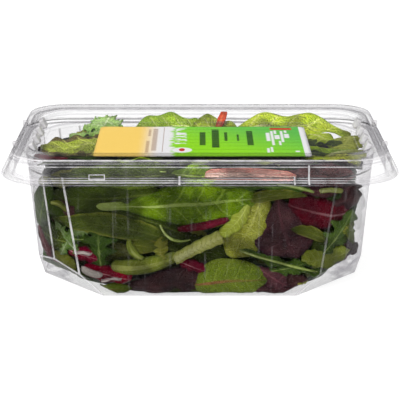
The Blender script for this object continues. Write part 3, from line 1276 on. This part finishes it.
def leaf_rib(shade, kind, along, side):
    """1 on the middle rib, which narrows to the tip, and on a bare stalk."""
    width = LEAF_KINDS[kind].rib_width
    narrow = shade.math("MULTIPLY_ADD", along, -width * 0.8, width * 1.15)
    rib = shade.step(shade.math("SUBTRACT", side, narrow), 0.0, 0.05, 1.0, 0.0)
    if kind in STALK_SHARES:
        rib = shade.math("MAXIMUM", rib, shade.step(along, *STALK_SHARES[kind], 1.0, 0.0))
    return rib


def leaf_material(kind, colours):
    """Heart, edge, veins and rib painted by a leaf's own places, with each leaf a little different."""
    leaf = LEAF_KINDS[kind]
    shade = Shade(f"leaf_{kind}")
    places = shade.node("ShaderNodeUVMap", uv_map="leaf_place").outputs[0]
    split = shade.node("ShaderNodeSeparateXYZ")
    shade.feed(split.inputs[0], places)
    along = split.outputs[0]
    side = shade.math("ABSOLUTE", shade.math("MULTIPLY_ADD", split.outputs[1], 2.0, -1.0))
    tone = shade.node("ShaderNodeAttribute", attribute_name="leaf_tone")
    tones = shade.node("ShaderNodeSeparateColor")
    shade.feed(tones.inputs[0], tone.outputs["Color"])
    light, hue, sunk = tones.outputs
    cloud = shade.noise(shade.coordinates(), CLOUDS_PER_METRE, 4.0, 0.6)
    grain = shade.noise(shade.coordinates(), GRAIN_PER_METRE, 3.0, 0.6)
    wrinkles = shade.noise(shade.coordinates(), WRINKLES_PER_METRE, 3.0, 0.6)
    branch, net = leaf_veins(shade, leaf, places, along, side, cloud)
    rib = leaf_rib(shade, kind, along, side)

    blade = shade.mix(shade.step(cloud, 0.35, 0.68), tuple(getattr(colours, kind)), paint_of(leaf.heart))
    heart = shade.step(shade.math("ADD", along, shade.times(side, 0.55)), 0.1, 0.75, 0.75, 0.0)
    blade = shade.mix(heart, blade, paint_of(leaf.heart))
    rim = shade.math("MULTIPLY_ADD", shade.math("SUBTRACT", cloud, 0.5), 0.5, side)
    rim = shade.step(rim, *RIM_PLACES.get(kind, USUAL_RIM_PLACE), 0.0, RIM_STRENGTH)
    blade = shade.mix(rim, blade, paint_of(leaf.edge))
    veins = shade.math("MAXIMUM", branch, shade.step(net, 0.0, 0.09, 0.4, 0.0))
    blade = shade.mix(shade.times(veins, VEIN_STRENGTH), blade, paint_of(leaf.vein))
    faded_rib = shade.times(rib, shade.step(along, 0.25, 0.7, 1.0, 0.4))
    blade = shade.mix(faded_rib, blade, paint_of(leaf.midrib))

    patch = shade.step(shade.noise(shade.coordinates(), PATCHES_PER_METRE, 1.0), 0.38, 0.6, *PATCH_LIGHT)
    value = shade.times(shade.times(light, 2.0), patch)
    spread = HUE_SPREADS.get(kind, USUAL_HUE_SPREAD)
    vary = shade.node("ShaderNodeHueSaturation")
    shade.feed(vary.inputs["Hue"], shade.math("MULTIPLY_ADD", hue, spread, 0.5 - spread / 2))
    shade.feed(vary.inputs["Saturation"], 1.05)
    shade.feed(vary.inputs["Value"], shade.times(value, shade.step(sunk, 0.15, 0.75, 1.0, 0.3)))
    shade.feed(vary.inputs["Color"], blade)

    height = shade.math("ADD", shade.times(branch, -0.7), shade.times(grain, 0.5))
    height = shade.math("ADD", height, shade.times(rib, 0.8))
    height = shade.math("ADD", height, shade.times(wrinkles, WRINKLE_DEPTH))
    height = shade.math("ADD", height, shade.step(net, 0.0, 0.3, 0.0, 2.2 * leaf.quilt))
    roughness = shade.step(grain, 0.3, 0.7, leaf.gloss - 0.06, leaf.gloss + 0.12)
    normal = shade.bump(height, 0.9, 0.0013)
    return shade.finish(shade.surface(vary.outputs[0], roughness, normal, specular=LEAF_SPECULAR))


def scattered_leaves(draw):
    """Leaves of every face by the rule in SCATTERED: kind, face, stalk, tip, form, brightness."""
    for face, layers, amount, half_span, low, high, first in SCATTERED:
        columns = max(2, round(math.sqrt(amount * 2 * half_span / (high - low))))
        rows = math.ceil(amount / columns)
        for layer, i, k in itertools.product(range(layers), range(columns), range(rows)):
            h = (2 * (i + 0.15 + 0.7 * draw()) / columns - 1) * half_span
            v = low + (high - low) * (k + 0.15 + 0.7 * draw()) / rows
            angle = math.pi * (draw() - 0.5) * 1.1 + (math.pi if draw() < 0.5 else 0.0)
            span = SCATTER_SPANS[0] + (SCATTER_SPANS[1] - SCATTER_SPANS[0]) * draw()
            kind = SCATTER_KINDS[int(draw() * len(SCATTER_KINDS))]
            width = span * (0.38 + 0.26 * draw()) * SCATTER_SLIM.get(kind, 1.0)
            reach = np.array((math.cos(angle), 0.75 * math.sin(angle))) * span / 2
            middle = np.array((h, v))
            depth = first + layer * LAYER_DEPTH + 1.2 * draw()
            bend, cup, arch = 8 * (draw() - 0.5), 1.0 + 2.5 * draw(), 0.4 + 1.2 * draw()
            brightness = 0.55 + 0.35 * draw()
            yield kind, face, middle - reach, middle + reach, (width, depth, bend, cup, arch), brightness


class SALAD_OT_leaves(bpy.types.Operator):
    """Fills the tub with leaves of every kind, one piece for each kind"""

    bl_idname = "salad.leaves"
    bl_label = "Leaves"

    def execute(self, context):
        draw = np.random.default_rng(LEAF_SEED).random
        piles = {kind: LeafPile(kind) for kind in LEAF_KINDS}
        for face, leaves in (("front", FRONT_LEAVES), ("top", TOP_LEAVES)):
            for kind, h0, v0, h1, v1, *form, brightness in leaves:
                piles[kind].add(face, (h0, v0), (h1, v1), form, brightness, draw)
        for kind, face, stalk, tip, form, brightness in scattered_leaves(draw):
            piles[kind].add(face, stalk, tip, form, brightness, draw)
        for kind, pile in piles.items():
            material = leaf_material(kind, context.scene.salad_leaf_colours)
            raise_piece(f"leaves_{kind}", pile.mesh(), material, "salad")
        return {"FINISHED"}


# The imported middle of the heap

CORE_INSET = 9.0
CORE_RADIUS = 20.0
CORE_FOOT = 3.0
CORE_FOOT_TOP = 30.0
CORE_TOP = 72.0
CORE_LEVELS = 16
# How the top closes: share of the width, and rise over the last level
CORE_CROWN = ((0.96, 1.6), (0.8, 3.2), (0.5, 4.0), (0.2, 4.2))
DEEP_SHADE = (0.006, 0.010, 0.003)
FOLD_SHADE = (0.03, 0.055, 0.012)


def core_material():
    """Deep shade between crumpled leaves."""
    shade = Shade("packed_leaves")
    folds = shade.noise(shade.coordinates((1.0, 1.0, 2.0)), 60.0, 5.0, 0.65)
    paint = shade.mix(shade.step(folds, 0.35, 0.7), DEEP_SHADE, FOLD_SHADE)
    return shade.finish(shade.surface(paint, 0.6, shade.bump(folds, 0.8, 0.004), specular=0.3))


class SALAD_OT_core(bpy.types.Operator):
    """Builds the crumpled, packed middle of the heap behind the leaves that show"""

    bl_idname = "salad.core"
    bl_label = "Packed middle"

    def execute(self, context):
        profile = []
        for i in range(CORE_LEVELS + 1):
            z = CORE_FOOT + (CORE_TOP - CORE_FOOT) * i / CORE_LEVELS
            foot = max(0.0, CORE_FOOT_TOP - z) * 0.5
            half_width = BASE_HALF_WIDTH + SIDE_LEAN * z - CORE_INSET - foot * 0.8
            half_depth = BASE_HALF_DEPTH + FRONT_LEAN * z - CORE_INSET - foot * 0.3
            profile.append((half_width, half_depth, CORE_RADIUS + foot * 0.6, z, 0.0))
        for share, rise in CORE_CROWN:
            half_width, half_depth, radius = profile[CORE_LEVELS][:3]
            profile.append((half_width * share, half_depth * share, radius * share, CORE_TOP + rise, 0.0))

        def crumpled(ring):
            x, y, z = ring.T
            swell = 1.0 + 0.014 * np.sin(0.16 * x + 0.21 * z) * np.cos(0.19 * y - 0.13 * z)
            lift = np.where(z > 60.0, 1.5 * np.sin(0.11 * x) * np.cos(0.13 * y), 0.0)
            return np.column_stack([x * swell, y * swell, z + lift])

        mesh = lofted("packed_leaves", profile, crumpled)
        with edited(mesh) as work:
            bmesh.ops.holes_fill(work, edges=[e for e in work.edges if e.is_boundary], sides=0)
        raise_piece("packed_leaves", outward(mesh), core_material(), "salad")
        return {"FINISHED"}


# The floor, the light and the camera

SENSOR_WIDTH = 36.0
FLOOR_HALF = 3.0
FLOOR_Z = -0.0002
FLOOR_GLOW = 0.9
FLOOR_LIGHT = (1.0, 1.0, 1.0)
SUN_FROM = (-0.42, -0.62, 0.95)
SUN_STRENGTH = 2.7
SUN_SPREAD = math.radians(26.0)
SKY_BRIGHT = (0.54, 0.54, 0.54)
SKY_DIM = (0.04, 0.04, 0.04)
SKY_RISE = (0.36, 0.56)
SKY_BEHIND = (0.2, 0.6)


def floor_material(paint):
    """Pale, faintly uneven floor that glows a little itself."""
    shade = Shade("pale_floor")
    grain = shade.noise(shade.coordinates(), 40.0, 3.0)
    tone = shade.mix(grain, tuple(paint), tuple(0.985 * c for c in paint))
    plain = shade.surface(tone, 0.7, specular=0.2)
    lit = shade.node("ShaderNodeEmission")
    shade.feed(lit.inputs["Color"], FLOOR_LIGHT)
    lit.inputs["Strength"].default_value = FLOOR_GLOW
    both = shade.node("ShaderNodeAddShader")
    shade.feed(both.inputs[0], plain)
    shade.feed(both.inputs[1], lit.outputs[0])
    return shade.finish(both.outputs[0])


def soft_sky():
    """A plain soft light; low down behind the tub it is dim, so that flat clear faces stay clear."""
    shade = Shade("soft_sky", world=True)
    _, y, z = shade.place("Generated")
    dim = shade.times(shade.step(z, *SKY_RISE, 1.0, 0.0), shade.step(y, *SKY_BEHIND))
    background = shade.node("ShaderNodeBackground")
    shade.feed(background.inputs["Color"], shade.mix(dim, SKY_BRIGHT, SKY_DIM))
    bpy.context.scene.world = shade.finish(background.outputs[0])


class SALAD_OT_stage(bpy.types.Operator):
    """Sets the camera, the pale floor and the soft light"""

    bl_idname = "salad.stage"
    bl_label = "Stage"

    def execute(self, context):
        settings = context.scene.salad_stage
        scene = context.scene
        scene.view_settings.view_transform = "Standard"
        camera = bpy.data.objects.new("camera", bpy.data.cameras.new("camera"))
        scene.collection.objects.link(camera)
        camera.location = (0.0, -settings.camera_back, settings.camera_height)
        camera.rotation_euler = (math.pi / 2 - settings.camera_pitch, 0.0, 0.0)
        camera.data.lens = settings.camera_lens
        camera.data.sensor_width = SENSOR_WIDTH
        scene.camera = camera
        ends = ((-1, -1), (1, -1), (1, 1), (-1, 1))
        floor_mesh = mesh_from("pale_floor", [(x * FLOOR_HALF, y * FLOOR_HALF, FLOOR_Z) for x, y in ends],
                               [(0, 1, 2, 3)], smooth=False)
        floor = bpy.data.objects.new("pale_floor", floor_mesh)
        scene.collection.objects.link(floor)
        floor_mesh.materials.append(floor_material(settings.floor))
        sun = bpy.data.lights.new("soft_sun", "SUN")
        sun.energy = SUN_STRENGTH
        sun.angle = SUN_SPREAD
        holder = bpy.data.objects.new("soft_sun", sun)
        holder.rotation_euler = Vector(SUN_FROM).to_track_quat("Z", "Y").to_euler()
        scene.collection.objects.link(holder)
        soft_sky()
        return {"FINISHED"}


class SALAD_PT_panel(bpy.types.Panel):
    """Lists the steps that build the salad tub"""

    bl_label = "Salad tub"
    bl_idname = "SALAD_PT_panel"
    bl_space_type = "VIEW_3D"
    bl_region_type = "UI"
    bl_category = "Salad tub"

    def draw(self, context):
        for step in STEPS:
            self.layout.operator(step.bl_idname)
        for group in ("salad_pack", "salad_pack_colours", "salad_leaf_colours", "salad_stage"):
            settings = getattr(context.scene, group)
            for name in settings.__annotations__:
                self.layout.prop(settings, name)


GROUPS = {"salad_pack": PackSizes, "salad_pack_colours": PackColours, "salad_leaf_colours": LeafColours,
          "salad_stage": StageSettings}
STEPS = (SALAD_OT_stage, SALAD_OT_core, SALAD_OT_leaves, SALAD_OT_tub, SALAD_OT_lid, SALAD_OT_ribs,
         SALAD_OT_label)


def register():
    for name, group in GROUPS.items():
        bpy.utils.register_class(group)
        setattr(bpy.types.Scene, name, PointerProperty(type=group))
    for made in (*STEPS, SALAD_PT_panel):
        bpy.utils.register_class(made)


def unregister():
    for made in (SALAD_PT_panel, *reversed(STEPS)):
        bpy.utils.unregister_class(made)
    for name, group in GROUPS.items():
        delattr(bpy.types.Scene, name)
        bpy.utils.unregister_class(group)


def main():
    register()
    for step in STEPS:
        family, name = step.bl_idname.split(".")
        getattr(getattr(bpy.ops, family), name)()


if __name__ == "__main__":
    main()
